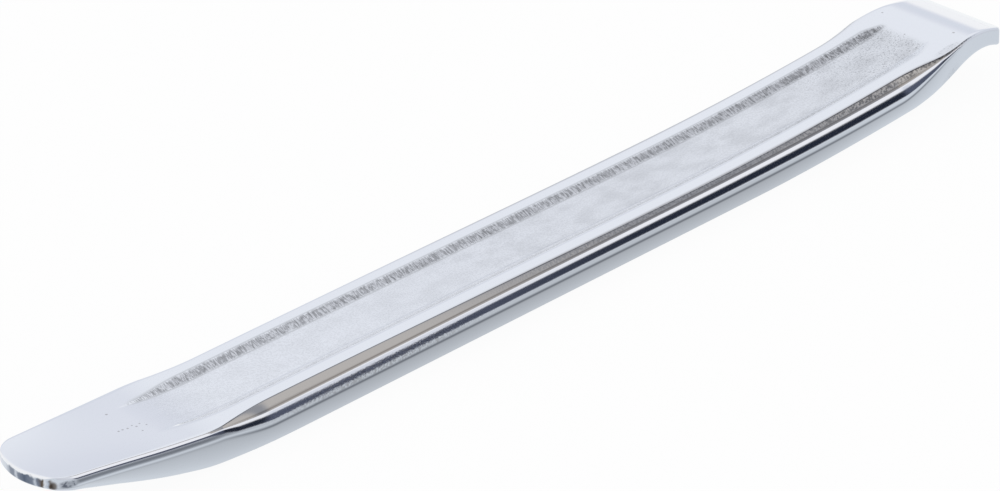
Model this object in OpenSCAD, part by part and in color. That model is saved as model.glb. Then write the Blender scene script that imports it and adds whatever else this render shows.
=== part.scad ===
// Forged tyre lever: one steel forging with a flat spoon end, a pocketed web between two rims,
// a parting-line ridge along each side and a small rolled-over hook at the other end.
//
// Frame: +X runs along the bar from the spoon tip to the hook tip, +Y across it, +Z out of the
// pocketed face. The origin is under the middle of the bar, on the flat underside it lies on.
//
// The shape is a loft. Distance u runs from 0 at the spoon tip to `length` at the hook tip. Each
// function below gives one measure of the bar at u, half_section() joins them into the outline of
// a cut across the bar, and lever() skins the cuts.

/* [Bar] */
// overall length, spoon tip to hook tip
length = 250; // [220:1:320]
// thickness next to the spoon, face to underside
thick = 8.8; // [8:0.1:12]
// how much lower the face lies at its lowest place
sag = 0.6; // [0:0.05:0.7]
// where that lowest place is, from the spoon tip
sag_u = 165; // [150:1:180]
// length over which the face sinks to it on the spoon's side
sag_in_len = 115; // [60:1:120]
// length over which it rises again towards the hook
sag_out_len = 70; // [40:1:75]
// width across the two parting-line ridges
ridge_w = 25.5; // [23.4:0.1:28]
// width of the top face near the spoon
face_w_spoon = 20.7; // [18.6:0.1:20.8]
// width of the top face in the middle and near the hook
face_w = 21; // [19:0.1:21.8]
// length past the shoulder over which the top face changes width
face_w_len = 62; // [30:1:90]
// where the flat underside ends, from the hook tip
rest_gap = 73; // [60:1:90]

/* [Sides] */
// height of the upper draft facet near the spoon
upper_h_spoon = 1.4; // [1:0.1:3]
// height of the upper draft facet towards the hook
upper_h_hook = 1.2; // [0.8:0.1:2.5]
// length past the shoulder over which the upper facet changes height
upper_h_len = 100; // [40:1:120]
// height of the ridge near the spoon
ridge_h_spoon = 2.9; // [2:0.1:4]
// height of the ridge towards the hook
ridge_h_hook = 3.5; // [2.5:0.1:5]
// length past the shoulder over which the ridge changes height
ridge_h_len = 150; // [60:1:160]
// how far the ridge bulges out of the side, from its top crease to its bottom one
ridge_out = 1.2; // [0.3:0.05:1.4]
// how far the lower draft facet leans in on its way down
lower_in = 1.15; // [0.2:0.05:1.5]
// length over which the lower facets turn upright towards the hook tip
upright_len = 26; // [10:1:60]
// rounding of the two long bottom edges
foot_r = 0.8; // [0.3:0.1:1.2]
// rounding of the rims' outer edges and of the end faces
edge_r = 0.5; // [0.3:0.05:0.6]

/* [Pocket] */
// width of the pocket's mouth where it is deepest
pocket_w = 14.6; // [12:0.1:16.2]
// depth of the pocket below the rims
pocket_d = 0.75; // [0.3:0.05:1.5]
// how far its side walls slope across
wall_run = 1.7; // [0.6:0.1:2.5]
// where it starts to sink, from the spoon tip
pocket_start = 27; // [20:0.1:40]
// length over which it sinks at the spoon end
pocket_fade = 16; // [6:1:24]
// length over which its floor rises to the face at the hook end
pocket_end_fade = 6.5; // [4:0.5:30]
// where it ends, from the hook tip
pocket_end_gap = 16.9; // [14:0.1:30]

/* [Spoon] */
// widest part of the spoon, over its rounded edge
spoon_w = 25; // [24:0.1:30]
// width the spoon's sides taper to at the tip
tip_w = 18.8; // [14:0.1:22]
// distance of the widest part from the tip
spoon_len = 34.8; // [28:0.1:45]
// distance from the tip to where the upper facets begin, past the shoulder
shoulder_start = 31.6; // [28:0.1:46]
// length of the shoulder
shoulder_len = 17.6; // [12:0.1:26]
// thickness at the tip
spoon_tip_t = 2.4; // [2:0.1:3.5]
// distance from the tip to the middle of the heel, where the underside levels out
heel_len = 27.7; // [25:0.1:44]
// half length of the bend at the heel
heel_soft = 28.9; // [10:0.1:30]
// how far the tip is turned up out of the face
spoon_lift = 2.9; // [0:0.1:8]
// half length of the bend where it turns up
lift_soft = 3.5; // [1:0.5:20]
// half length of the rounding at the spoon's widest part
side_soft = 2.5; // [1:0.5:15]
// how far the end bows forwards in the middle
tip_bow = 3.2; // [1:0.1:5]
// length of spoon that the bow fades over
bow_len = 27.6; // [15:0.1:30]
// rounding of the tip's two corners in plan
tip_corner = 3; // [1:0.1:4]
// height of the rounded edge round the spoon
spoon_edge_h = 1.8; // [1.2:0.1:3]
// how far that edge bulges out
spoon_edge_out = 0.4; // [0.1:0.05:0.8]
// length past the spoon over which that edge would die out, where no ridge takes over
edge_fade = 125; // [60:1:150]

/* [Hook] */
// width across the hook's tip
hook_w = 20.6; // [16:0.1:23]
// length over which the sides draw in to that width
hook_taper_len = 24; // [8:0.1:30]
// height the face has climbed to where it rolls over
hook_rise = 3.05; // [1:0.05:7]
// length over which it climbs, back from where it rolls over
rise_len = 95; // [50:1:110]
// how late in that length the face climbs
rise_power = 2.9; // [2:0.1:4]
// how late past the flat the underside climbs
under_power = 1.7; // [1.3:0.05:2.5]
// length of the roll-over, back from the hook tip
roll_len = 14.5; // [9:0.1:18]
// radius of the roll-over, on the face
roll_r = 30.5; // [20:0.5:45]
// thickness at the hook tip
hook_tip_t = 4; // [2:0.1:4.5]
// length over which the bar thins to that thickness, back from the hook tip
neck_len = 28.9; // [24:0.1:46]
// length at the hook tip that keeps that thickness
tip_even_len = 2; // [0:0.5:5]
// rounding of the hook tip's corners in plan
hook_corner = 1.5; // [0.5:0.1:3]
// where the side ridges die out, from the hook tip
ridge_end_gap = 14; // [8:0.1:24]
// length over which they die out
ridge_end_len = 19.5; // [10:0.1:40]

/* [Fineness] */
// number of steps along each of the four stretches of the bar
steps = 24; // [12:1:26]

/* [Hidden] */
chrome = [0.78, 0.80, 0.83];
least = 0.3;            // smallest width or height that a facet shrinks to
sliver = 0.05;          // smallest step from the face's edge out to the ridge's foot
edge_share = 0.8;       // most of the upper facet's height that its rounded edge takes
foot_share = 0.6;       // most of the lower facet's height that the bottom edge's rounding takes
lean_full_h = 3;        // height of lower facet at which it has its full lean
arc_steps = 8;          // steps down a ridge, from its top crease to its bottom one
edge_steps = 2;         // steps round a rim's outer edge
foot_steps = 2;         // steps round a bottom edge
under_steps = 4;        // steps from a bottom edge to the middle of the underside
tip_crowding = 1.7;     // how closely the cuts crowd towards the spoon tip, 1 for evenly
hook_crowding = 1.5;    // how closely they crowd towards the hook tip
bend_margin = 4;        // how far the closer cuts run on along the straight middle
roll_u = length - roll_len;
roll_lean = atan(rise_power * hook_rise / rise_len);
shoulder_u = shoulder_start + shoulder_len;
ridge_end_u = length - ridge_end_gap;
pocket_end_u = length - pocket_end_gap;
rest_end_u = length - rest_gap;
floor_half = pocket_w / 2 - wall_run;
side_taper = (spoon_w - tip_w) / 2 / spoon_len;

// --- curves -----------------------------------------------------------------------------------

function clamp01(t) = min(1, max(0, t));
function ease(t) = let (c = clamp01(t)) c * c * (3 - 2 * c);
function mix(a, b, t) = a + (b - a) * t;

// 0 below -k, x above k, and a smooth bend between them
function bend(x, k) = x < -k ? 0 : x > k ? x : (x + k) * (x + k) / (4 * k);

// how much a corner of radius r takes off at distance d from the end
function corner_cut(d, r) = d >= r ? 0 : r - sqrt(r * r - (r - d) * (r - d));

// --- lengthwise measures at distance u from the spoon tip ---------------------------------------

// how far the face, and the underside, have climbed towards the hook
function climb(u) = hook_rise * pow(clamp01((u - roll_u + rise_len) / rise_len), rise_power);
function under_climb(u) =
    hook_rise * pow(clamp01((u - rest_end_u) / (roll_u - rest_end_u)), under_power);

// the roll-over is an arc that carries on from the climb's slope
function roll(u) = let (d = u - roll_u - roll_r * sin(roll_lean))
    hook_rise - roll_r * cos(roll_lean) + sqrt(max(0, roll_r * roll_r - d * d));

// how far the face dips in the middle of the bar
function dip(u) = sag * ease((u - sag_u + sag_in_len) / sag_in_len)
    * ease((sag_u + sag_out_len - u) / sag_out_len);

function face_z(u) = thick + (u < roll_u ? climb(u) : roll(u)) - dip(u)
    + spoon_lift / spoon_len * bend(spoon_len - u, lift_soft);

function depth(u) = thick + climb(u) - under_climb(u) - dip(u)
    - (thick - spoon_tip_t) / heel_len * bend(heel_len - u, heel_soft)
    - (thick - hook_tip_t) * ease((u - length + neck_len) / (neck_len - tip_even_len));

// half width of the outline, out to the ridge
function outline(u) = ridge_w / 2
    + (spoon_w - ridge_w) / 2 * ease((shoulder_u - u) / (shoulder_u - spoon_len))
    - side_taper * bend(spoon_len - u, side_soft)
    - (ridge_w - hook_w) / 2 * ease((u - length + hook_taper_len) / hook_taper_len)
    - corner_cut(u, tip_corner) - corner_cut(length - u, hook_corner);

// 0 on the spoon and on the hook, 1 where the side has its full ridge and facets
function spoon_to_bar(u) = ease((u - shoulder_start) / shoulder_len);
function bar_to_hook(u) = ease((ridge_end_u - u) / ridge_end_len);
function ribbed(u) = spoon_to_bar(u) * bar_to_hook(u);

// the parting line runs straight, so the upper facet is lower where the face dips
function upper_h(u) = let (
        full = mix(upper_h_spoon, upper_h_hook, ease((u - shoulder_u) / upper_h_len)))
    max(least, ribbed(u) * full - dip(u));
function edge_left(u) = 1 - clamp01((u - spoon_len) / edge_fade);
function ridge_h(u) = let (
        full = mix(ridge_h_spoon, ridge_h_hook, clamp01((u - shoulder_u) / ridge_h_len)),
        plain = mix(least, spoon_edge_h, edge_left(u)))
    min(mix(plain, full, ribbed(u)), depth(u) - upper_h(u) - least);
function ridge_p(u) = let (plain = mix(least / 2, spoon_edge_out, edge_left(u)))
    min(mix(plain, ridge_out, ribbed(u)), ridge_h(u) / 2);

// half width of the top face
function face_half(u) = let (
        widest = outline(u) - ridge_p(u) - sliver,
        ribbed_w = mix(face_w_spoon, face_w, ease((u - shoulder_u) / face_w_len)))
    min(widest, mix(widest, ribbed_w / 2, ribbed(u)));

function pocket_at(u) = pocket_d * ease((u - pocket_start) / pocket_fade)
    * ease((pocket_end_u - u) / pocket_end_fade);

// how far in the lower facet leans: fully along the bar, not at all at the hook tip
function lower_lean(u) = lower_in * ease((length - u) / upright_len);

// distance by which the bowed end pushes a point of the cut forwards
function bow(u, y) = tip_bow * (1 - ease(u / bow_len)) * pow(2 * y / tip_w, 2);

// --- cross section ------------------------------------------------------------------------------

// One side of the cut at u, from the middle of the face round to the middle of the underside.
function half_section(u) = let (
        z = face_z(u), low = z - depth(u), w = outline(u), p = ridge_p(u), f = face_half(u),
        up = upper_h(u), h = ridge_h(u), d = pocket_at(u), r = min(edge_r, up * edge_share),
        slope = atan2(up, w - p - f), flat = f - r * tan(slope / 2),
        mouth = min(floor_half + wall_run * d / pocket_d + least, flat - least),
        web = min(floor_half, mouth - least),
        lean = 2 * atan(p / h), round_r = h / sin(lean), crease = z - up - h,
        foot = min(foot_r, foot_share * (crease - low)), side = w - lower_lean(u) * clamp01((crease - low) / lean_full_h))
    concat(
        [[0, z - d], [web / 2, z - d], [web, z - d], [mouth, z], [(mouth + flat) / 2, z]],
        [for (i = [0:edge_steps]) let (a = slope * i / edge_steps)
            [flat + r * sin(a), z - r + r * cos(a)]],
        [for (i = [arc_steps:-1:0]) let (a = lean * i / arc_steps)
            [w - round_r * (1 - cos(a)), crease + round_r * sin(a)]],
        [for (i = [0:foot_steps]) let (a = 90 * i / foot_steps)
            [side - foot + foot * cos(a), low + foot - foot * sin(a)]],
        [for (i = [under_steps - 1:-1:0]) [(side - foot) * i / under_steps, low]]);

// The end faces are rounded: their cuts are flattened a little towards half thickness.
function end_squeeze(u) = let (cut = corner_cut(u, edge_r) + corner_cut(length - u, edge_r))
    1 - 2 * cut / depth(u);

function ring(u) = let (
        half = half_section(u), n = len(half), mid = face_z(u) - depth(u) / 2, k = end_squeeze(u))
    [for (i = [0:2 * n - 3]) let (
            q = i < n ? half[i] : [-half[2 * n - 2 - i][0], half[2 * n - 2 - i][1]])
        [u - length / 2 + bow(u, q[0]), q[0], mid + (q[1] - mid) * k]];

// --- pieces -------------------------------------------------------------------------------------

// The cuts are packed closely at the two ends and spread out along the straight middle.
function stations() = let (middle = shoulder_u + bend_margin, neck = length - neck_len - bend_margin)
    concat(
        [for (i = [0:steps - 1]) spoon_len * pow(i / steps, tip_crowding)],
        [for (i = [0:steps - 1]) mix(spoon_len, middle, i / steps)],
        [for (i = [0:2:steps - 1]) mix(middle, neck, i / steps)],
        [for (i = [0:steps - 1]) mix(neck, roll_u, i / steps)],
        [for (i = [0:steps]) mix(length, roll_u, pow(1 - i / steps, hook_crowding))]);

module lever() {
    cuts = stations();
    rings = [for (u = cuts) ring(u)];
    n = len(rings[0]);
    m = len(cuts);
    // Faces are listed clockwise as seen from outside.
    skin = [for (j = [0:m - 2]) for (i = [0:n - 1]) let (
            a = j * n + i, b = j * n + (i + 1) % n, c = a + n, d = b + n)
        each [[a, d, b], [a, c, d]]];
    // Each end is closed by strips that run from the face down to the underside.
    reach = floor(n / 4);
    caps = [for (i = [-reach:reach - 1]) let (
            a = (i + n) % n, b = (i + 1 + n) % n, c = (n / 2 - i) % n, d = (n / 2 - i - 1) % n,
            last = (m - 1) * n)
        each [[a, b, d], [a, d, c], [last + a, last + d, last + b], [last + a, last + c, last + d]]];
    color(chrome) polyhedron([for (r = rings) each r], concat(skin, caps));
}

lever();
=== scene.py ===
# %% [markdown]
# # A forged, chrome-plated tyre lever
#
# The real tool is one bar of steel, forged between two dies, trimmed along its parting line,
# ground on its working ends and then chrome plated. It has no second piece, so this lesson makes
# one object, and spends its effort on two things: a shape whose small facets catch the light as
# the real ones do, and a plating that is bright where it was ground and dull where it was not.
#
# The imported CAD model is loaded first. It fixes the place, the size and the frame: +X runs from
# the spoon tip to the hook tip, +Y across, +Z up out of the pocketed face.

# %% Load the imported model
import math

import bmesh
import bpy
from mathutils import Matrix, Vector


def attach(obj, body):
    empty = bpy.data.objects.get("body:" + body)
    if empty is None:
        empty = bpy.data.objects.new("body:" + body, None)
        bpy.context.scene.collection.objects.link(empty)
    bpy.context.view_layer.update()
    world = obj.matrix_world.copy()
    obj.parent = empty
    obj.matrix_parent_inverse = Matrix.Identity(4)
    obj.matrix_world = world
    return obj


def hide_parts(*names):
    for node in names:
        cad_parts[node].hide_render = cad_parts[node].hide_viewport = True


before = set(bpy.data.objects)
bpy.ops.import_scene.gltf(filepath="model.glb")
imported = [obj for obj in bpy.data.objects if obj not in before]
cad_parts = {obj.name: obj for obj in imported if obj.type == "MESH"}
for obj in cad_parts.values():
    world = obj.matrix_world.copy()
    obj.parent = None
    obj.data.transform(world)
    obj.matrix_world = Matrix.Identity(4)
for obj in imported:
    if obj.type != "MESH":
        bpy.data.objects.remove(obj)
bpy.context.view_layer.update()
scene = bpy.context.scene
MM = 0.001
print("CAD nodes:", sorted(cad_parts))

# %% [markdown]
# ## The camera
#
# A photographer stood well back with a long lens, so the bar hardly shrinks towards its far end.
# The camera is placed the way a photographer would say it: which way round the bar it stands, how
# high, how far off, and how much it is tilted. A matrix built from its own right, up and back
# directions is the clearest way to place it, because nothing is left to guess about its roll.

# %% Camera
view_azimuth = math.radians(-43.509)
view_elevation = math.radians(28.683)
view_roll = math.radians(-1.689)
view_distance = 898.38 * MM
view_target = Vector((-8.157, -0.132, 8.8)) * MM
focal_px = 4773.90
photo_width_px = 1000
film_width_mm = 36.0
nearest_seen = 0.05
farthest_seen = 60.0

back = Vector((math.sin(view_azimuth) * math.cos(view_elevation),
               -math.cos(view_azimuth) * math.cos(view_elevation),
               math.sin(view_elevation)))
level_right = Vector((0, 0, 1)).cross(back).normalized()
level_up = back.cross(level_right)
right = math.cos(view_roll) * level_right + math.sin(view_roll) * level_up
up = back.cross(right)

camera_data = bpy.data.cameras.new("photo_camera")
camera_data.sensor_width = film_width_mm
camera_data.lens = focal_px / photo_width_px * camera_data.sensor_width
camera_data.clip_start = nearest_seen
camera_data.clip_end = farthest_seen
camera = bpy.data.objects.new("photo_camera", camera_data)
camera.matrix_world = Matrix.Translation(view_target + back * view_distance) @ Matrix(
    (right, up, back)).transposed().to_4x4()
scene.collection.objects.link(camera)
scene.camera = camera
print("lens in mm:", round(camera_data.lens, 2))

# %% [markdown]
# ## Sizes
#
# Everything below is in millimetres, as a toolmaker would write it. `u` is the distance from the
# spoon tip. The values are those of the CAD model, so the finished surface lies in its box.

# %% Sizes of the bar in millimetres
length = 250.0
thick = 8.8
ridge_w = 25.5
face_w_spoon = 20.7
face_w = 21.0
face_w_len = 62.0
rest_gap = 73.0
upper_h_spoon = 1.4
upper_h_hook = 1.2
upper_h_len = 100.0
sag = 0.6
sag_u = 165.0
sag_in_len = 115.0
sag_out_len = 70.0
ridge_h_spoon = 2.9
ridge_h_hook = 3.5
ridge_h_len = 150.0
ridge_out = 1.2
lower_in = 1.15
upright_len = 26.0
foot_r = 0.8
edge_r = 0.5
pocket_w = 14.6
pocket_d = 0.75
wall_run = 1.7
pocket_start = 27.0
pocket_fade = 16.0
pocket_end_fade = 6.5
pocket_end_gap = 16.9
print("bar:", length, "x", ridge_w, "x", thick, "mm")

# %% Sizes of the spoon and the hook
spoon_w = 25.0
tip_w = 18.8
spoon_len = 34.8
shoulder_start = 31.6
shoulder_len = 17.6
spoon_tip_t = 2.4
heel_len = 27.7
heel_soft = 28.9
spoon_lift = 2.9
lift_soft = 3.5
side_soft = 2.5
tip_bow = 3.2
bow_len = 27.6
tip_corner = 3.0
spoon_edge_h = 1.8
spoon_edge_out = 0.4
edge_fade = 125.0
hook_w = 20.6
hook_taper_len = 24.0
hook_rise = 3.05
rise_len = 95.0
rise_power = 2.9
under_power = 1.7
roll_len = 14.5
roll_r = 30.5
hook_tip_t = 4.0
neck_len = 28.9
tip_even_len = 2.0
hook_corner = 1.5
ridge_end_gap = 14.0
ridge_end_len = 19.5
least = 0.3
sliver = 0.05
roll_u = length - roll_len
roll_lean = math.atan(rise_power * hook_rise / rise_len)
shoulder_u = shoulder_start + shoulder_len
ridge_end_u = length - ridge_end_gap
pocket_end_u = length - pocket_end_gap
rest_end_u = length - rest_gap
floor_half = pocket_w / 2 - wall_run
side_taper = (spoon_w - tip_w) / 2 / spoon_len
print("the ridges run from", shoulder_start, "to", ridge_end_u, "mm")

# %% [markdown]
# ## Curves that blend one stretch into the next
#
# A forging has no hard starts: its facets swell and fade. Three small curves are enough for that.
# `ease` fades from 0 to 1, `bend` is a straight line that sets off through a smooth bend, and
# `corner_cut` is what a rounded corner takes off a square one.

# %% Curves
def clamp(t):
    return min(1.0, max(0.0, t))


def ease(t):
    c = clamp(t)
    return c * c * (3 - 2 * c)


def mix(a, b, t):
    return a + (b - a) * t


def bend(x, k):
    if x < -k:
        return 0.0
    return x if x > k else (x + k) ** 2 / (4 * k)


def corner_cut(d, r):
    return 0.0 if d >= r else r - math.sqrt(max(0.0, r * r - (r - d) ** 2))


print("halfway through a bend of 5 mm:", bend(0, 5), "mm")

# %% Height of the face and thickness along the bar
def climb(u):
    return hook_rise * clamp((u - roll_u + rise_len) / rise_len) ** rise_power


def under_climb(u):
    return hook_rise * clamp((u - rest_end_u) / (roll_u - rest_end_u)) ** under_power


def roll(u):
    d = u - roll_u - roll_r * math.sin(roll_lean)
    return hook_rise - roll_r * math.cos(roll_lean) + math.sqrt(max(0.0, roll_r ** 2 - d * d))


def dip(u):
    nearer = ease((u - sag_u + sag_in_len) / sag_in_len)
    return sag * nearer * ease((sag_u + sag_out_len - u) / sag_out_len)


def face_z(u):
    risen = climb(u) if u < roll_u else roll(u)
    return thick + risen - dip(u) + spoon_lift / spoon_len * bend(spoon_len - u, lift_soft)


def depth(u):
    heel = (thick - spoon_tip_t) / heel_len * bend(heel_len - u, heel_soft)
    neck = (thick - hook_tip_t) * ease((u - length + neck_len) / (neck_len - tip_even_len))
    return thick + climb(u) - under_climb(u) - dip(u) - heel - neck


print("face at the two tips:", round(face_z(0), 2), round(face_z(length), 2), "mm")

# %% Widths along the bar
def outline(u):
    w = ridge_w / 2
    w += (spoon_w - ridge_w) / 2 * ease((shoulder_u - u) / (shoulder_u - spoon_len))
    w -= side_taper * bend(spoon_len - u, side_soft)
    w -= (ridge_w - hook_w) / 2 * ease((u - length + hook_taper_len) / hook_taper_len)
    return w - corner_cut(u, tip_corner) - corner_cut(length - u, hook_corner)


def ribbed(u):
    return ease((u - shoulder_start) / shoulder_len) * ease((ridge_end_u - u) / ridge_end_len)


def upper_h(u):
    full = mix(upper_h_spoon, upper_h_hook, ease((u - shoulder_u) / upper_h_len))
    return max(least, ribbed(u) * full - dip(u))


def edge_left(u):
    return 1 - clamp((u - spoon_len) / edge_fade)


def ridge_h(u):
    full = mix(ridge_h_spoon, ridge_h_hook, clamp((u - shoulder_u) / ridge_h_len))
    plain = mix(least, spoon_edge_h, edge_left(u))
    return min(mix(plain, full, ribbed(u)), depth(u) - upper_h(u) - least)


def ridge_p(u):
    plain = mix(least / 2, spoon_edge_out, edge_left(u))
    return min(mix(plain, ridge_out, ribbed(u)), ridge_h(u) / 2)


def face_half(u):
    widest = outline(u) - ridge_p(u) - sliver
    full = mix(face_w_spoon, face_w, ease((u - shoulder_u) / face_w_len)) / 2
    return min(widest, mix(widest, full, ribbed(u)))


def pocket_at(u):
    sunk = ease((u - pocket_start) / pocket_fade) * ease((pocket_end_u - u) / pocket_end_fade)
    return pocket_d * sunk


def lower_lean(u):
    return lower_in * ease((length - u) / upright_len)


def bow(u, y):
    return tip_bow * (1 - ease(u / bow_len)) * (2 * y / tip_w) ** 2


print("width at the middle:", round(2 * outline(length / 2), 2), "mm")

# %% [markdown]
# ## The cut across the bar
#
# A mirror shows the direction that it faces, not the place where it is. So the side of the bar is
# drawn by tilts, in degrees above upright, at shares of the way down, and the list is walked like
# a path. The first path rounds the rim's edge into the facet below it. The second is the ridge:
# steep under its top crease, then ever more upright, and its last stretch is whatever is needed to
# arrive at the bottom crease.

# %% Paths drawn by their tilts
facet_tilts = ((0.0, 88), (0.10, 64), (0.26, 49), (0.34, 42), (1.0, 39))
ridge_tilts = ((0.0, 66), (0.05, 38), (0.26, 27), (0.34, 25.5), (0.66, 19), (0.72, 16))
ridge_full_lean = 0.34
facet_steps = 12
ridge_steps = 16
fine_walk = 400


def tilt_at(tilts, share):
    for (s0, a0), (s1, a1) in zip(tilts, tilts[1:]):
        if share <= s1:
            return math.radians(mix(a0, a1, (share - s0) / (s1 - s0)))
    return math.radians(tilts[-1][1])


def walk(tilts, steps):
    path = [(0.0, 0.0)]
    out = down = 0.0
    for i in range(fine_walk):
        tilt = tilt_at(tilts, (i + 0.5) / fine_walk * tilts[-1][0])
        out += math.sin(tilt)
        down += math.cos(tilt)
        if (i + 1) * steps // fine_walk > i * steps // fine_walk:
            path.append((out, down))
    return path


def fit(path):
    out, down = path[-1]
    return [(o / out, d / down) for o, d in path]


facet_path = fit(walk(facet_tilts, facet_steps))
print("facet path:", len(facet_path), "points")

# %% The ridge's path at one lean
ridge_drawn = ridge_tilts[-1][0]
ridge_bands = 11
ridge_walked = walk(ridge_tilts, ridge_bands)
ridge_scale = ridge_drawn / ridge_walked[-1][1]


def ridge_path(lean):
    share = min(1.0, lean / ridge_full_lean)
    path = [(o * ridge_scale * share / lean, d * ridge_scale) for o, d in ridge_walked]
    out, down = path[-1]
    left = ridge_steps - ridge_bands
    path += [(mix(out, 1, i / left), mix(down, 1, i / left)) for i in range(1, left + 1)]
    return path


print("ridge path:", len(ridge_path(0.4)), "points")

# %% Half of a cut, from the middle of the face round to the middle of the underside
floor_steps = 10
wall_steps = 10
rim_steps = 7
lower_steps = 9
foot_steps = 5
under_steps = 8
wall_soft = 0.07
lower_crowding = 1.7
round_share = 0.8
foot_share = 0.6
lean_over = 3.0


def half_cut(u):
    z = face_z(u)
    low = z - depth(u)
    w, p, f = outline(u), ridge_p(u), face_half(u)
    rise, h, d = upper_h(u), ridge_h(u), pocket_at(u)
    slope = math.atan2(rise, w - p - f)
    flat = f - min(edge_r, rise * round_share) * math.tan(slope / 2)
    mouth = min(floor_half + wall_run * d / pocket_d + least, flat - least)
    web = min(floor_half, mouth - least)
    crease = z - rise - h
    foot = min(foot_r, foot_share * (crease - low))
    side = w - lower_lean(u) * clamp((crease - low) / lean_over)
    cut = [(web * i / floor_steps, z - d) for i in range(floor_steps)]
    for i in range(wall_steps + 1):
        t = mix(-wall_soft, 1 + wall_soft, i / wall_steps)
        risen = bend(t, wall_soft) - bend(t - 1, wall_soft)
        cut.append((mix(web, mouth, t), z - d + d * risen))
    start = cut[-1][0]
    cut += [(mix(start, flat, i / rim_steps), z) for i in range(1, rim_steps)]
    cut += [(mix(flat, w - p, out), z - rise * down) for out, down in facet_path]
    cut += [(w - p + p * out, z - rise - h * down) for out, down in ridge_path(p / h)[1:]]
    for i in range(1, lower_steps):
        t = (i / lower_steps) ** lower_crowding
        cut.append((mix(w, side, t), mix(crease, low + foot, t)))
    for i in range(foot_steps + 1):
        a = math.pi / 2 * i / foot_steps
        cut.append((side - foot + foot * math.cos(a), low + foot - foot * math.sin(a)))
    cut += [((side - foot) * (1 - i / under_steps), low) for i in range(1, under_steps + 1)]
    return cut


wall_first = floor_steps
rim_first = wall_first + wall_steps + 1
facet_first = rim_first + rim_steps - 1
ridge_first = facet_first + facet_steps
crease_column = ridge_first + ridge_steps
columns = len(half_cut(length / 2))
print("a half cut has", columns, "points; the bottom crease is number", crease_column)

# %% [markdown]
# ## Where the cuts are made
#
# The cuts crowd together where the shape turns quickly: round the two tips, along the shoulder and
# over the hook. Between them they can be further apart. At both tips the cut is squeezed a little
# towards its middle, which rounds the end face's edges.

# %% Stations along the bar
tip_round = 3.2
shoulder_rest = 6.0
neck_start_gap = 50.0
shoulder_end = shoulder_u + shoulder_rest
neck_start = length - neck_start_gap
# from, to, how many cuts there are, and how much they crowd towards the start
stretches = ((0.0, tip_round, 26, 2.2), (tip_round, shoulder_start, 60, 1.0),
             (shoulder_start, shoulder_end, 70, 1.0), (shoulder_end, neck_start, 250, 1.0),
             (neck_start, roll_u, 100, 1.0))
hook_stretch = (0.0, roll_len, 46, 1.9)


def crowd(a, b, count, power):
    return [mix(a, b, (i / count) ** power) for i in range(count)]


def stations():
    bar_cuts = [u for stretch in stretches for u in crowd(*stretch)]
    hook_cuts = [length - back_from_tip for back_from_tip in reversed(crowd(*hook_stretch))]
    return bar_cuts + [roll_u] + hook_cuts


def squeeze(u):
    cut = corner_cut(u, edge_r) + corner_cut(length - u, edge_r)
    return 1 - 2 * cut / depth(u)


cuts_u = stations()
print(len(cuts_u), "stations, from", cuts_u[0], "to", cuts_u[-1])

# %% [markdown]
# ## A map of the finishes
#
# On the real lever each finish stops at an edge of the forging: the rough wall at the pocket's
# floor, the grinding at the rim. A painted map would need a layout of its own and could slip
# against those edges. Here every point of the skin knows its place in the cut, so it carries one
# value from 0 to 1 for each finish, as a named attribute, and the material reads them back.

# %% Where each finish starts and ends
# besides finishes, the skin carries places of painted shade: the wall's edges, under the rim, the
# two creases and below the bottom crease; and of painted dark reflections: the spoon's edge and the
# tip's end face
mask_names = ("rough_wall", "wall_edge_shade", "pocket_floor", "facet_grain", "ridge_grain",
              "mid_crease_painted_shade", "rim_line_painted_shade", "low_crease_painted_shade", "low_side_painted_shade", "ground_spoon_edge_and_reflection", "tip_end")
# places along the bar and lengths of fading, in mm
facet_worn_u = 95.0
facet_worn_len = 50.0
rim_line_u = 75.0
ridge_worn = (42.0, 105.0, 22.0)
spoon_edge_u = 2.0
tip_end_len = 0.25
# how far before the hook tip a finish is gone, and over what length it goes, in mm
facet_end = (8.0, 6.0)
rim_line_end = (10.0, 20.0)
low_crease_end = (12.0, 14.0)
low_side_end = (12.0, 20.0)
# widths of lines, in points of the cut
mid_crease_w = 1.5
low_crease_w = 3.2
# shares of the way across a wall or a facet: start, end and softness of a band
wall_band = (0.0, 1.0, 0.15)
facet_band = (0.1, 1.0, 0.2)
ridge_band = (0.2, 1.0, 0.2)
spoon_edge_band = (0.12, 0.80, 0.3)
wall_line_w = 1 / 9
rim_line_place = 0.12
rim_line_w = 0.2
# how quickly a finish comes in as the pocket sinks or the wall begins, and how faint it may be
wall_onset = 4.0
floor_onset = 2.0
low_side_fall = 0.7
faint_on_spoon = 0.3


def between(value, start, end, soft):
    return ease((value - start) / soft) * ease((end - value) / soft)


def line_at(distance, width):
    return 1 - ease(abs(distance) / width)


def before_hook(u, gap, run):
    return ease((length - gap - u) / run)


print("finishes that the skin carries:", len(mask_names))

# %% What each part of the skin is, for the finish
def pocket_masks(u, column):
    sunk = pocket_at(u) / pocket_d
    risen = (column - wall_first) / wall_steps
    wall = between(risen, *wall_band) * ease(sunk * wall_onset)
    # painted shade: dark lines along the wall's foot and its top edge
    lines = line_at(risen, wall_line_w) + line_at(risen - 1, wall_line_w)
    floor = ease((1 - risen) * wall_onset) * ease(sunk * floor_onset)
    return wall, lines * ease(sunk * wall_onset), floor


def facet_masks(u, column):
    down = (column - facet_first) / facet_steps
    grain = between(down, *facet_band) * ease((u - facet_worn_u) / facet_worn_len)
    # the rim line is painted shade just under the rim's edge
    rim = line_at(down - rim_line_place, rim_line_w) * ease((u - rim_line_u) / facet_worn_len)
    return grain * before_hook(u, *facet_end), rim * before_hook(u, *rim_line_end)


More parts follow.
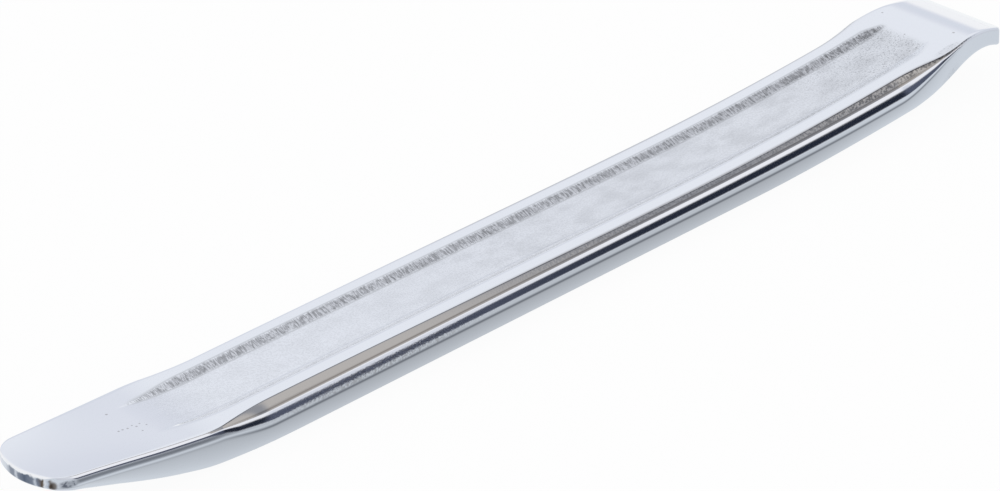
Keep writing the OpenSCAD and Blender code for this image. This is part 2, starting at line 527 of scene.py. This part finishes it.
def side_masks(u, column):
    ribs = ribbed(u)
    down = (column - ridge_first) / ridge_steps
    below = column - crease_column
    ridge = between(down, *ridge_band) * between(u, *ridge_worn)
    # middle: painted shade in the crease between the facet and the ridge
    middle = line_at(column - ridge_first, mid_crease_w) * ribs
    # low: painted shade in the bottom crease
    low = line_at(below, low_crease_w)
    # side: painted shade below the bottom crease, darkest at its top
    side = ease(below) * (1 - clamp(below / lower_steps)) ** low_side_fall
    edge = 0.0
    if u < length / 2:
        low *= mix(faint_on_spoon, 1, ribs)
        # edge: a painted dark reflection along the spoon's side, which is also rougher where it was
        # ground
        edge = (1 - ribs) * between(down, *spoon_edge_band) * ease(u - spoon_edge_u)
    else:
        low *= before_hook(u, *low_crease_end)
        side *= before_hook(u, *low_side_end)
    return ridge, middle, low, side, edge


def masks_at(u, column):
    wall, lines, floor = pocket_masks(u, column)
    facet, rim = facet_masks(u, column)
    ridge, middle, low, side, edge = side_masks(u, column)
    # tip: the end face, where painted dark reflections lie
    tip = line_at(u, tip_end_len)
    return wall, lines, floor, facet, ridge, middle, rim, low, side, edge, tip


print("masks in the middle of the ridge:", masks_at(length / 2, ridge_first + 8))

# %% [markdown]
# ## The bar
#
# A flat grid is folded round the bar like foil: one row of the grid for each cut, one column for
# each point of the half cut. Lofting a curve or carving a block would do as well, but a grid keeps
# long even quads, which is what a reflection needs to run straight.

# %% Fold a grid round half of the bar
def fold_half(mesh):
    rows = len(cuts_u)
    bmesh.ops.create_grid(mesh, x_segments=rows - 1, y_segments=columns - 1, size=0.5)
    layers = [mesh.verts.layers.float.new(name) for name in mask_names]
    cuts = [half_cut(u) for u in cuts_u]
    for v in mesh.verts:
        row = round((v.co.x + 0.5) * (rows - 1))
        column = round((v.co.y + 0.5) * (columns - 1))
        u = cuts_u[row]
        y, z = cuts[row][column]
        middle = face_z(u) - depth(u) / 2
        z = middle + (z - middle) * squeeze(u)
        v.co = Vector((u - length / 2 + bow(u, y), y, z)) * MM
        for layer, value in zip(layers, masks_at(u, column)):
            v[layer] = value
    print("folded", len(mesh.verts), "vertices")


bar = bmesh.new()
fold_half(bar)

# %% [markdown]
# ## The other half and the two ends
#
# The bar is alike on both sides of its upright middle, so the half is mirrored and not built
# twice. The doubled points of the seam are welded, and the open cuts at the two tips are filled
# with triangles. What is left has to be a closed skin: the number of loose edges must be 0.

# %% Mirror it, weld the seam and close the two ends
weld_gap = 1e-7


def mirror_and_close(mesh):
    bmesh.ops.mirror(mesh, geom=mesh.verts[:] + mesh.edges[:] + mesh.faces[:],
                     axis="Y", merge_dist=weld_gap)
    bmesh.ops.remove_doubles(mesh, verts=mesh.verts[:], dist=weld_gap)
    rims = [e for e in mesh.edges if e.is_boundary]
    filled = bmesh.ops.holes_fill(mesh, edges=rims, sides=0)["faces"]
    bmesh.ops.triangulate(mesh, faces=filled, quad_method="BEAUTY", ngon_method="BEAUTY")
    bmesh.ops.recalc_face_normals(mesh, faces=mesh.faces[:])
    return len(rims), sum(1 for e in mesh.edges if not e.is_manifold)


print("rim edges closed, loose edges left:", mirror_and_close(bar))

# %% Make the object
lever_mesh = bpy.data.meshes.new("lever_body")
bar.to_mesh(lever_mesh)
bar.free()
lever = bpy.data.objects.new("lever_body", lever_mesh)
scene.collection.objects.link(lever)
for polygon in lever_mesh.polygons:
    polygon.use_smooth = True
print("faces:", len(lever_mesh.polygons))

# %% [markdown]
# ## The studio
#
# Chrome has no colour of its own: it shows the room. The real room is read back from the bar. The
# long facets run like mirrors beside long cards: a pale table below, a dark gap above it, a white
# strip, a warm grey card, a dark stretch of ceiling and a wide bright wall behind. All of them run
# along the bar, so the room is painted by the angle round the bar's own length. The cards differ
# from one end of the bar to the other, so there are several such rooms, and one fades into the next
# by how far a direction points along the bar. Only metal sees them. The camera sees plain white
# instead, and everything dull is lit by even white light.

# %% Helpers that make nodes
def srgb(r, g, b):
    def linear(c):
        c = c / 255
        return c / 12.92 if c <= 0.04045 else ((c + 0.055) / 1.055) ** 2.4
    return (linear(r), linear(g), linear(b), 1.0)


def add_node(tree, kind, **settings):
    node = tree.nodes.new(kind)
    for name, value in settings.items():
        setattr(node, name, value)
    return node


def feed(tree, source, socket):
    if hasattr(source, "is_output"):
        tree.links.new(source, socket)
    else:
        socket.default_value = source


def math_node(tree, operation, a, b=0.0, c=0.0, clamped=False):
    node = add_node(tree, "ShaderNodeMath", operation=operation, use_clamp=clamped)
    for socket, source in zip(node.inputs, (a, b, c)):
        feed(tree, source, socket)
    return node.outputs[0]


def colour_mix(tree, factor, a, b):
    node = add_node(tree, "ShaderNodeMix", data_type="RGBA")
    feed(tree, factor, node.inputs[0])
    feed(tree, a, node.inputs[6])
    feed(tree, b, node.inputs[7])
    return node.outputs[2]


def ramp_node(tree, factor, stops):
    node = add_node(tree, "ShaderNodeValToRGB")
    points = node.color_ramp.elements
    points[0].position, points[1].position = stops[0][0], stops[-1][0]
    for place, _ in stops[1:-1]:
        points.new(place)
    for point, (place, colour) in zip(points, stops):
        point.color = colour
    tree.links.new(factor, node.inputs[0])
    return node.outputs[0]


def fade(tree, value, start, end):
    node = add_node(tree, "ShaderNodeMapRange", interpolation_type="SMOOTHSTEP")
    feed(tree, value, node.inputs[0])
    node.inputs[1].default_value = start
    node.inputs[2].default_value = end
    return node.outputs[0]


def seen_by_metal(tree, path):
    return math_node(tree, "MAXIMUM", path.outputs["Is Glossy Ray"],
                     path.outputs["Is Transmission Ray"])


print("white in linear light:", srgb(255, 255, 255))

# %% Colours of the room
table = srgb(203, 206, 215)
far_table = srgb(252, 253, 255)
gap = srgb(84, 90, 108)
gap_deep = srgb(34, 40, 54)
gap_end = srgb(62, 68, 86)
strip = srgb(248, 249, 254)
strip_low = srgb(222, 226, 236)
seam = srgb(70, 68, 70)
card = srgb(190, 186, 182)
card_dim = srgb(146, 148, 154)
ceiling = srgb(58, 60, 68)
ceiling_far = srgb(222, 225, 233)
wall = srgb(240, 244, 251)
wall_low = srgb(226, 230, 240)
wall_foot = srgb(222, 228, 238)
white = (1.0, 1.0, 1.0, 1.0)
print("colours mixed; the wall is", [round(c, 2) for c in wall])

# %% The room, as colours met on the way round the bar, in degrees
over_wall = ((98, ceiling_far), (113, wall), (143, wall), (151, wall_low), (164, wall_foot),
             (172, wall_low), (179, far_table))
over_crest = ((93, ceiling_far), (113, wall), (143, wall), (148, wall_low), (153, wall_foot),
              (157, wall_low), (163, far_table))
spoon_room = ((-90, table), (0, table), (3, gap), (14, gap), (17, strip), (36, strip), (37, seam),
              (39, card), (68, card), (73, ceiling), (84, ceiling)) + over_wall
near_room = ((-90, table), (-1, table), (1, gap), (14, gap), (17, strip_low), (26, strip_low),
             (28, strip), (36, strip), (37, seam), (39, card), (66, card), (82, card_dim),
             (86, ceiling), (92, ceiling)) + over_wall
far_room = ((-90, table), (0, table), (2, gap_deep), (13.5, gap_deep), (16.5, strip),
            (34, strip), (36, seam), (38, card_dim), (82, card_dim), (86, ceiling),
            (92, ceiling)) + over_wall
end_room = ((-90, table), (-2, table), (0, gap_end), (12, gap_end), (15, strip), (34, strip),
            (36, seam), (39, card), (66, card), (72, ceiling), (84, ceiling)) + over_crest
open_room = ((-90, table), (0, table), (40, wall), (90, far_table), (180, far_table))
tip_room = ((-90, table), (0, table), (40, wall_foot), (90, wall_low)) + over_crest[1:]
# each room and where it fades in, as the share of a direction that runs along the bar
rooms = ((open_room, None), (spoon_room, (-0.1, 0.2)), (near_room, (0.52, 0.56)),
         (far_room, (0.58, 0.63)), (end_room, (0.66, 0.70)), (tip_room, (0.78, 0.82)))
print("the room has", len(near_room), "strips on the spoon's side")

# %% [markdown]
# ## Painting the room on the World
#
# Cards and lamps made as objects would have to be very long, and would stand in the picture or
# throw shadows. The World has no size, so a strip painted on it reaches along the whole bar. A
# colour ramp turns the angle round the bar into a colour, and there is one ramp for each room.

# %% World
def paint_world():
    world = bpy.data.worlds.new("studio")
    world.use_nodes = True
    tree = world.node_tree
    tree.nodes.clear()
    direction = add_node(tree, "ShaderNodeSeparateXYZ")
    where = add_node(tree, "ShaderNodeTexCoord")
    tree.links.new(where.outputs["Generated"], direction.inputs[0])
    toward = math_node(tree, "MULTIPLY", direction.outputs[1], -1.0)
    round_bar = math_node(tree, "ARCTAN2", direction.outputs[2], toward)
    place = math_node(tree, "MULTIPLY_ADD", round_bar, 1 / (2 * math.pi), 0.5)
    seen = None
    for room, start in rooms:
        painted = ramp_node(tree, place, [((a + 180) / 360, colour) for a, colour in room])
        if start is None:
            seen = painted
        else:
            seen = colour_mix(tree, fade(tree, direction.outputs[0], *start), seen, painted)
    path = add_node(tree, "ShaderNodeLightPath")
    lit = colour_mix(tree, seen_by_metal(tree, path), white, seen)
    shown = colour_mix(tree, path.outputs["Is Camera Ray"], lit, white)
    background = add_node(tree, "ShaderNodeBackground")
    tree.links.new(shown, background.inputs[0])
    output = add_node(tree, "ShaderNodeOutputWorld")
    tree.links.new(background.outputs[0], output.inputs[0])
    scene.world = world
    print("world nodes:", len(tree.nodes))


paint_world()
scene.view_settings.view_transform = "Standard"

# %% [markdown]
# ## The floor
#
# A photographer's white sweep. It takes the bar's soft shadow as any matt sheet does, and for the
# camera most of it glows plain white. For polished metal the sheet glows in painted colours
# instead:
# a painted shadow, grey in front of the bar and lighter off its ends, and white behind it.

# %% Floor
camera_glow = 0.93
# a painted shadow that polished metal sees on the sheet: grey in front of the bar, lighter off its
# ends
sheet_painted_shadow = srgb(194, 200, 207)
sheet_painted_shadow_ends = srgb(212, 219, 227)
sheet_far = srgb(252, 254, 255)
sheet_tint = (0.86, 0.86, 0.87, 1)
sheet_half = 4.0
# where the sheet turns from one colour to the next, in mm across and along the bar
back_fade = (-20, 30)
end_fade = (50, 110)


def lay_floor():
    mesh = bmesh.new()
    bmesh.ops.create_grid(mesh, x_segments=2, y_segments=2, size=sheet_half)
    floor_mesh = bpy.data.meshes.new("floor")
    mesh.to_mesh(floor_mesh)
    mesh.free()
    floor = bpy.data.objects.new("floor", floor_mesh)
    scene.collection.objects.link(floor)
    material = bpy.data.materials.new("white_sweep")
    material.use_nodes = True
    tree = material.node_tree
    tree.nodes.clear()
    path = add_node(tree, "ShaderNodeLightPath")
    matt = add_node(tree, "ShaderNodeBsdfDiffuse")
    matt.inputs[0].default_value = sheet_tint
    glow = add_node(tree, "ShaderNodeEmission")
    place = add_node(tree, "ShaderNodeSeparateXYZ")
    tree.links.new(add_node(tree, "ShaderNodeTexCoord").outputs["Object"], place.inputs[0])
    behind = fade(tree, place.outputs[1], *(y * MM for y in back_fade))
    off_middle = math_node(tree, "ABSOLUTE", place.outputs[0])
    reach = fade(tree, off_middle, *(x * MM for x in end_fade))
    before = colour_mix(tree, reach, sheet_painted_shadow, sheet_painted_shadow_ends)
    sheet = colour_mix(tree, behind, before, sheet_far)
    tree.links.new(colour_mix(tree, path.outputs["Is Camera Ray"], sheet, white), glow.inputs[0])
    seen = math_node(tree, "MULTIPLY", path.outputs["Is Camera Ray"], camera_glow)
    seen = math_node(tree, "MAXIMUM", seen_by_metal(tree, path), seen)
    share = add_node(tree, "ShaderNodeMixShader")
    tree.links.new(seen, share.inputs[0])
    tree.links.new(matt.outputs[0], share.inputs[1])
    tree.links.new(glow.outputs[0], share.inputs[2])
    output = add_node(tree, "ShaderNodeOutputMaterial")
    tree.links.new(share.outputs[0], output.inputs[0])
    floor_mesh.materials.append(material)
    return floor


print("staged:", lay_floor().name)

# %% [markdown]
# ## Effects for the plating
#
# The plating is one metal, so what tells its places apart is how it was worked: ground lengthwise
# on the faces, left as forged on the pocket's walls, blasted at the end of the pocket. Each effect
# is a node group with its own name and inputs, built once. Its pattern is measured in millimetres
# in Object coordinates, so it stays on the bar from every side.

# %% A helper that starts a group
def new_group(name, inputs, outputs):
    group = bpy.data.node_groups.new(name, "ShaderNodeTree")
    for label, kind, value in inputs:
        socket = group.interface.new_socket(name=label, in_out="INPUT", socket_type=kind)
        if value is not None:
            socket.default_value = value
    for label, kind in outputs:
        group.interface.new_socket(name=label, in_out="OUTPUT", socket_type=kind)
    entry = add_node(group, "NodeGroupInput")
    leave = add_node(group, "NodeGroupOutput")
    return group, entry, leave


VECTOR, FLOAT, COLOUR = "NodeSocketVector", "NodeSocketFloat", "NodeSocketColor"
per_metre = 1000.0
print("group helper ready")

# %% Noise drawn out in one direction: grinding marks, hatching, stipple
def stretched_noise_group():
    group, entry, leave = new_group(
        "Drawn-out noise",
        (("Place", VECTOR, None), ("Per mm", VECTOR, (1, 1, 1)), ("Low", FLOAT, 0.4),
         ("High", FLOAT, 0.6), ("Twist", FLOAT, 0.0)),
        (("Mask", FLOAT), ("Value", FLOAT)))
    scaled = add_node(group, "ShaderNodeVectorMath", operation="MULTIPLY")
    group.links.new(entry.outputs["Place"], scaled.inputs[0])
    group.links.new(entry.outputs["Per mm"], scaled.inputs[1])
    texture = add_node(group, "ShaderNodeTexNoise")
    texture.inputs["Scale"].default_value = per_metre
    texture.inputs["Detail"].default_value = 2.0
    group.links.new(scaled.outputs[0], texture.inputs["Vector"])
    group.links.new(entry.outputs["Twist"], texture.inputs["Distortion"])
    spread = add_node(group, "ShaderNodeMapRange", interpolation_type="SMOOTHSTEP")
    group.links.new(texture.outputs[0], spread.inputs[0])
    group.links.new(entry.outputs["Low"], spread.inputs[1])
    group.links.new(entry.outputs["High"], spread.inputs[2])
    group.links.new(spread.outputs[0], leave.inputs["Mask"])
    group.links.new(texture.outputs[0], leave.inputs["Value"])
    return group


drawn_noise = stretched_noise_group()
print("group:", drawn_noise.name)

# %% [markdown]
# ## Tints and small marks
#
# Painted shade lies in the creases and under the rim, and here and there a speck of plating has
# gone. Both darken what is there already, so the colour is multiplied by a tint where a mask is
# bright, which also keeps the metal's own tint. A small mark's mask is the distance from its
# centre, squashed to its size.

# %% A tint laid over the colour through a mask: painted shade, painted dark reflections and pits
def shade_group():
    group, entry, leave = new_group(
        "Shade",
        (("Colour", COLOUR, (0.8, 0.8, 0.8, 1)), ("Mask", FLOAT, 0.0),
         ("Tint", COLOUR, (0, 0, 0, 1))),
        (("Colour", COLOUR),))
    deep = add_node(group, "ShaderNodeMix", data_type="RGBA", blend_type="MULTIPLY")
    group.links.new(entry.outputs["Mask"], deep.inputs[0])
    group.links.new(entry.outputs["Colour"], deep.inputs[6])
    group.links.new(entry.outputs["Tint"], deep.inputs[7])
    group.links.new(deep.outputs[2], leave.inputs["Colour"])
    return group


shade = shade_group()
print("group:", shade.name)

# %% A small mark of a given place and size
def mark_group():
    group, entry, leave = new_group(
        "Small mark",
        (("Place", VECTOR, None), ("Centre", VECTOR, (0, 0, 0)), ("Per size", VECTOR, (1, 1, 0))),
        (("Mask", FLOAT),))
    off = add_node(group, "ShaderNodeVectorMath", operation="SUBTRACT")
    group.links.new(entry.outputs["Place"], off.inputs[0])
    group.links.new(entry.outputs["Centre"], off.inputs[1])
    scaled = add_node(group, "ShaderNodeVectorMath", operation="MULTIPLY")
    group.links.new(off.outputs[0], scaled.inputs[0])
    group.links.new(entry.outputs["Per size"], scaled.inputs[1])
    far = add_node(group, "ShaderNodeVectorMath", operation="LENGTH")
    group.links.new(scaled.outputs[0], far.inputs[0])
    inside = fade(group, far.outputs["Value"], 1.0, 0.4)
    group.links.new(inside, leave.inputs["Mask"])
    return group


small_mark = mark_group()
print("group:", small_mark.name)

# %% [markdown]
# ## The chrome
#
# One Principled metal. Everything the groups find is laid over it in turn: first the finish of the
# pocket with a painted brightening on its near wall and painted shade along the wall's edges, then
# the specks, then the worn facets, painted shade in the creases, under the rim and below the bottom
# crease, and a painted dark reflection along the ground edge of the spoon, and last painted dark
# reflections in marks on the spoon tip. Strengths and places come first, in one list each, so that
# the look can be judged and changed there.

# %% Tints
chrome_tint = (0.87, 0.875, 0.895, 1)
black = (0.0, 0.0, 0.0, 1.0)
# a painted brightening that lifts the near wall's colour above the plating's own
painted_lift = (1.13, 1.125, 1.10, 1)
warm_dark = (0.16, 0.12, 0.10, 1.0)
cold_dark = (0.10, 0.11, 0.14, 1.0)
clean = (1, 1, 1, 1)
grey = (0.72, 0.75, 0.80, 1)
brown = (0.13, 0.08, 0.04, 1)
blue = (0.12, 0.15, 0.21, 1)
slate = (0.26, 0.29, 0.35, 1)
grey_mark = (0.20, 0.21, 0.24, 1)
print("the plating returns", chrome_tint[:3], "of the light")

# %% How much each effect darkens the plating
# painted shade: the two creases, the line under the rim and the low side; painted dark reflections:
# the spoon's edge and the tip's corner
darkens = {"floor grain": 0.08, "floor near the hook": 0.07, "hatching": 0.38,
           "crossed hatching": 0.25, "stipple": 0.34, "worn patch": 0.08, "speck": 0.45,
           "neck": 0.55, "ridge grain": 0.35, "low crease shade": 0.80, "mid crease shade": 0.62,
           "painted shade under the rim": 0.50, "low side shade": 0.30, "spoon edge reflection": 0.72, "dark corner reflection": 0.8}
# these start at the first value and grow by the second
frost_range = (0.04, 0.09)
facet_range = (0.30, 0.34)
wall_line_range = (0.02, 0.26)
mottle_range = (0.55, 0.45)
far_side_range = (0.08, 0.92)
# stretches over which an effect grows, in mm from the spoon tip
grows = {"blasted end": (185, 229), "towards the hook": (50, 160), "worn facet": (185, 210),
         "neck": (223, 231)}
print(len(darkens), "effects darken the plating")

# %% Marks and specks
# painted dark reflections as marks on the spoon tip's end face, by their place across the bar in mm
tip_marks = ((-9.6, brown), (-6.9, brown), (-6.4, grey), (-6.0, clean), (-5.6, brown),
             (-4.6, slate), (-4.2, grey), (-3.6, slate), (-1.8, blue), (-0.3, slate), (0.3, grey),
             (0.9, slate), (2.0, slate), (3.4, grey), (9.6, grey))
tip_fray = 0.06
bevel_fray = 1.2
bevel_top = 12.0
bevel_low = 11.6
# specks in the plating: place along and across the bar and size, in mm
specks = ((24.6, 5.2, 0.35), (235.5, 9.5, 0.3), (238.1, -7.4, 0.4), (231.7, 0.1, 0.25),
          (22.1, -1.1, 0.3), (23.0, -1.1, 0.3), (24.0, -1.3, 0.3), (25.3, -0.9, 0.25),
          (25.7, -1.7, 0.3), (26.8, -1.2, 0.25), (27.5, -2.3, 0.25), (25.5, -3.6, 0.25))
# larger marks: centre and size in mm along, across and up; size 0 is without end
worn_patch = ((232.3, -10.8, 0), (4.5, 1.1, 0))
# the grey and the brown mark at the spoon tip's corner are painted dark reflections
grey_corner_reflection = ((4.2, -8.9, 10.2), (2.4, 2.0, 0.9))
corner_dark_reflection = ((2.0, -7.4, 10.1), (1.1, 0.8, 1.1))
print(len(tip_marks), "marks on the tip,", len(specks), "specks")

# %% Start the material and read what the skin carries
chrome = bpy.data.materials.new("bright_chrome")
chrome.use_nodes = True
tree = chrome.node_tree
bsdf = tree.nodes["Principled BSDF"]
bsdf.inputs["Metallic"].default_value = 1.0
place = add_node(tree, "ShaderNodeTexCoord").outputs["Object"]
axes = add_node(tree, "ShaderNodeSeparateXYZ")
tree.links.new(place, axes.inputs[0])
along, across, above = axes.outputs
skin = {name: add_node(tree, "ShaderNodeAttribute", attribute_name=name).outputs["Fac"]
        for name in mask_names}
print("masks ready:", sorted(skin))

# %% Helpers for laying effects over one another
def at(u):
    return (u - length / 2) * MM


def use_group(group, **values):
    node = add_node(tree, "ShaderNodeGroup", node_tree=group)
    for name, value in values.items():
        feed(tree, value, node.inputs[name.replace("_", " ")])
    return node


def times(*values):
    product = values[0]
    for value in values[1:]:
        product = math_node(tree, "MULTIPLY", product, value)
    return product


def grown(mask, least_and_growth):
    start, growth = least_and_growth
    return math_node(tree, "MULTIPLY_ADD", mask, growth, start)


def stretch(name):
    start, end = grows[name]
    return fade(tree, along, at(start), at(end))


def spot(centre, size):
    middle = (at(centre[0]), centre[1] * MM, centre[2] * MM)
    per_size = tuple(1 / (s * MM) if s else 0 for s in size)
    return use_group(small_mark, Place=place, Centre=middle, Per_size=per_size).outputs[0]


def lay_over(colour, effects):
    for mask, tint in effects:
        colour = use_group(shade, Colour=colour, Mask=mask, Tint=tint).outputs[0]
    return colour


print("the middle of the bar is at", at(length / 2))

# %% [markdown]
# ## The patterns and where they lie
#
# The pocket's floor is finely grained, its far wall shows short upright strokes, and its end near
# the hook is dull and stippled. All of these are one noise, drawn out by different amounts: that
# costs less than a texture for each, and no pattern repeats. The near wall faces away from the
# viewer and was polished cleaner, and its colour is lifted above the plating's own, a painted
# brightening, so the two walls are told apart by the side that they lie on.

# %% Patterns, by how many there are to a millimetre along, across and up
def noise_at(per_mm, low, high, twist=0.0):
    return use_group(drawn_noise, Place=place, Per_mm=per_mm, Low=low, High=high,
                     Twist=twist).outputs


blotches = noise_at((0.15, 0.25, 0.25), 0.35, 0.70)
grain = noise_at((2.8, 2.8, 2.8), 0.40, 0.62)
hatch = noise_at((3.0, 0.7, 0.7), 0.48, 0.55, 0.8)
cross_hatch = noise_at((2.6, 0.6, 0.6), 0.50, 0.57, -0.6)
stipple = noise_at((3.0, 3.0, 3.0), 0.52, 0.66, 0.5)
coarse = noise_at((1.8, 1.8, 1.8), 0.42, 0.60)
frayed = noise_at((0.9, 0.9, 0.9), 0.2, 0.8)
print("nodes so far:", len(tree.nodes))

# %% Where the patterns lie
far_side = grown(fade(tree, across, -1 * MM, 1 * MM), far_side_range)
far_wall = times(skin["rough_wall"], far_side)
near_wall = times(skin["rough_wall"], fade(tree, across, 1 * MM, -1 * MM))
pocket_base = times(skin["pocket_floor"], math_node(tree, "SUBTRACT", 1.0, near_wall))
blasted = times(skin["pocket_floor"], stretch("blasted end"))
worn = spot(*worn_patch)
dull = math_node(tree, "ADD", blasted, worn, clamped=True)
towards_hook = stretch("towards the hook")
print("nodes so far:", len(tree.nodes))

# %% [markdown]
# ## The pocket's finish
#
# Each effect is a pair, a mask and a tint, laid over the plating's colour in turn. Kept in a list,
# their order is plain, and a new effect is one more line.

# %% The pocket
frost = grown(towards_hook, frost_range)
# painted shade along the wall's foot and top edge, stronger on the far side
wall_edge_shade = times(skin["wall_edge_shade"], grown(far_side, wall_line_range))
colour = lay_over(chrome_tint, (
    (times(pocket_base, blotches["Mask"], frost), black),
    # the near wall's painted brightening
    (near_wall, painted_lift),
    (times(pocket_base, grain["Mask"], darkens["floor grain"]), black),
    (times(pocket_base, towards_hook, darkens["floor near the hook"]), black),
    (times(far_wall, hatch["Mask"], darkens["hatching"]), black),
    (times(far_wall, cross_hatch["Mask"], darkens["crossed hatching"]), black),
    (wall_edge_shade, black),
    (times(dull, stipple["Mask"], darkens["stipple"]), black),
    (times(worn, darkens["worn patch"]), black)))
print("nodes so far:", len(tree.nodes))

# %% [markdown]
# ## Specks
#
# A used lever has pinholes in its plating. A noise with a high threshold would scatter them by
# chance. A short list of places and sizes puts each where it belongs, and it can be changed.

# %% Specks in the plating
for u, y, size in specks:
    speck = spot((u, y, 0), (size, size, 0))
    colour = lay_over(colour, ((times(speck, darkens["speck"]), warm_dark),))
print("nodes so far:", len(tree.nodes))

# %% [markdown]
# ## The side
#
# The upper facet is worn towards the hook. Painted shade lies under the rim, in the two creases and
# below the bottom crease. The skin's attributes say where those are, so here each needs only a tint
# and a strength.

# %% The side: worn facets, painted shade in creases, a painted dark reflection on the spoon's edge
facet, ridge = skin["facet_grain"], skin["ridge_grain"]
worn_facet = grown(stretch("worn facet"), facet_range)
colour = lay_over(colour, (
    (times(facet, coarse["Mask"], worn_facet), cold_dark),
    (times(facet, stretch("neck"), darkens["neck"]), cold_dark),
    (times(ridge, grain["Mask"], darkens["ridge grain"]), warm_dark),
    # painted shade in the two creases, under the rim and below the bottom crease
    (times(skin["low_crease_painted_shade"], darkens["low crease shade"]), cold_dark),
    (times(skin["mid_crease_painted_shade"], darkens["mid crease shade"]), warm_dark),
    (times(skin["rim_line_painted_shade"], darkens["painted shade under the rim"]), warm_dark),
    (times(skin["low_side_painted_shade"], darkens["low side shade"]), black),
    # a painted dark reflection along the spoon's edge
    (times(skin["ground_spoon_edge_and_reflection"], darkens["spoon edge reflection"]), cold_dark)))
print("nodes so far:", len(tree.nodes))

# %% [markdown]
# ## The spoon tip
#
# The tip is what meets a wheel. Its end face carries painted dark reflections in upright marks, and
# its near corner a mottled grey one and a brown one. A colour ramp across the bar sets the end
# face's marks in order, a little noise frays them, and a bevel is left without them.

# %% The spoon tip: painted dark reflections as marks on its end face, a mottled corner and a patch
span = 2 * tip_marks[-1][0]
tip_place = math_node(tree, "MULTIPLY_ADD", across, 1 / (span * MM), 0.5 - tip_fray / 2)
tip_place = math_node(tree, "MULTIPLY_ADD", frayed["Value"], tip_fray, tip_place)
marks = ramp_node(tree, tip_place, [(y / span + 0.5, tint) for y, tint in tip_marks])
frayed_height = math_node(tree, "MULTIPLY_ADD", frayed["Value"], bevel_fray * MM, above)
bevelled = fade(tree, frayed_height, bevel_top * MM, bevel_low * MM)
mottled = grown(coarse["Mask"], mottle_range)
# painted dark reflections on the tip's end face and corner
colour = lay_over(colour, (
    (times(skin["tip_end"], bevelled), marks),
    (times(spot(*grey_corner_reflection), mottled), grey_mark),
    (times(spot(*corner_dark_reflection), darkens["dark corner reflection"]), brown)))
tree.links.new(colour, bsdf.inputs["Base Color"])
print("nodes so far:", len(tree.nodes))

# %% [markdown]
# ## Roughness and relief
#
# Polished chrome is nearly a mirror. Where it was left as forged or blasted its reflections blur,
# so the masks that darken it also make it rougher. The finest relief is a bump, which turns the
# light and leaves the outline alone: at this size nobody could see the outline change.

# %% Roughness: polished, and duller where it was left as forged, blasted or worn
polished = 0.07
rough = polished
for mask, more in ((far_wall, 0.12), (pocket_base, 0.10), (skin["ground_spoon_edge_and_reflection"], 0.05),
                   (ridge, 0.06)):
    rough = math_node(tree, "MULTIPLY_ADD", mask, more, rough)
tree.links.new(rough, bsdf.inputs["Roughness"])
print("nodes so far:", len(tree.nodes))

# %% Fine relief in the same places
relief_strength = 0.5
relief_depth = 0.1
height = 0.0
for pattern, share in ((times(far_wall, hatch["Value"]), 0.9), (times(dull, stipple["Value"]), 0.8),
                       (times(ridge, grain["Value"]), 0.35), (times(facet, grain["Value"]), 0.25),
                       (grain["Value"], 0.03)):
    height = math_node(tree, "MULTIPLY_ADD", pattern, share, height)
bump = add_node(tree, "ShaderNodeBump")
bump.inputs["Strength"].default_value = relief_strength
bump.inputs["Distance"].default_value = relief_depth * MM
tree.links.new(height, bump.inputs["Height"])
tree.links.new(bump.outputs[0], bsdf.inputs["Normal"])
print("nodes in the material:", len(tree.nodes))

# %% Give the bar its plating
lever_mesh.materials.append(chrome)
print("materials:", [m.name for m in lever_mesh.materials])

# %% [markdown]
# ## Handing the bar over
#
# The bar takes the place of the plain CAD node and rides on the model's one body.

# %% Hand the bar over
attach(lever, "root")
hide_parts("lever")
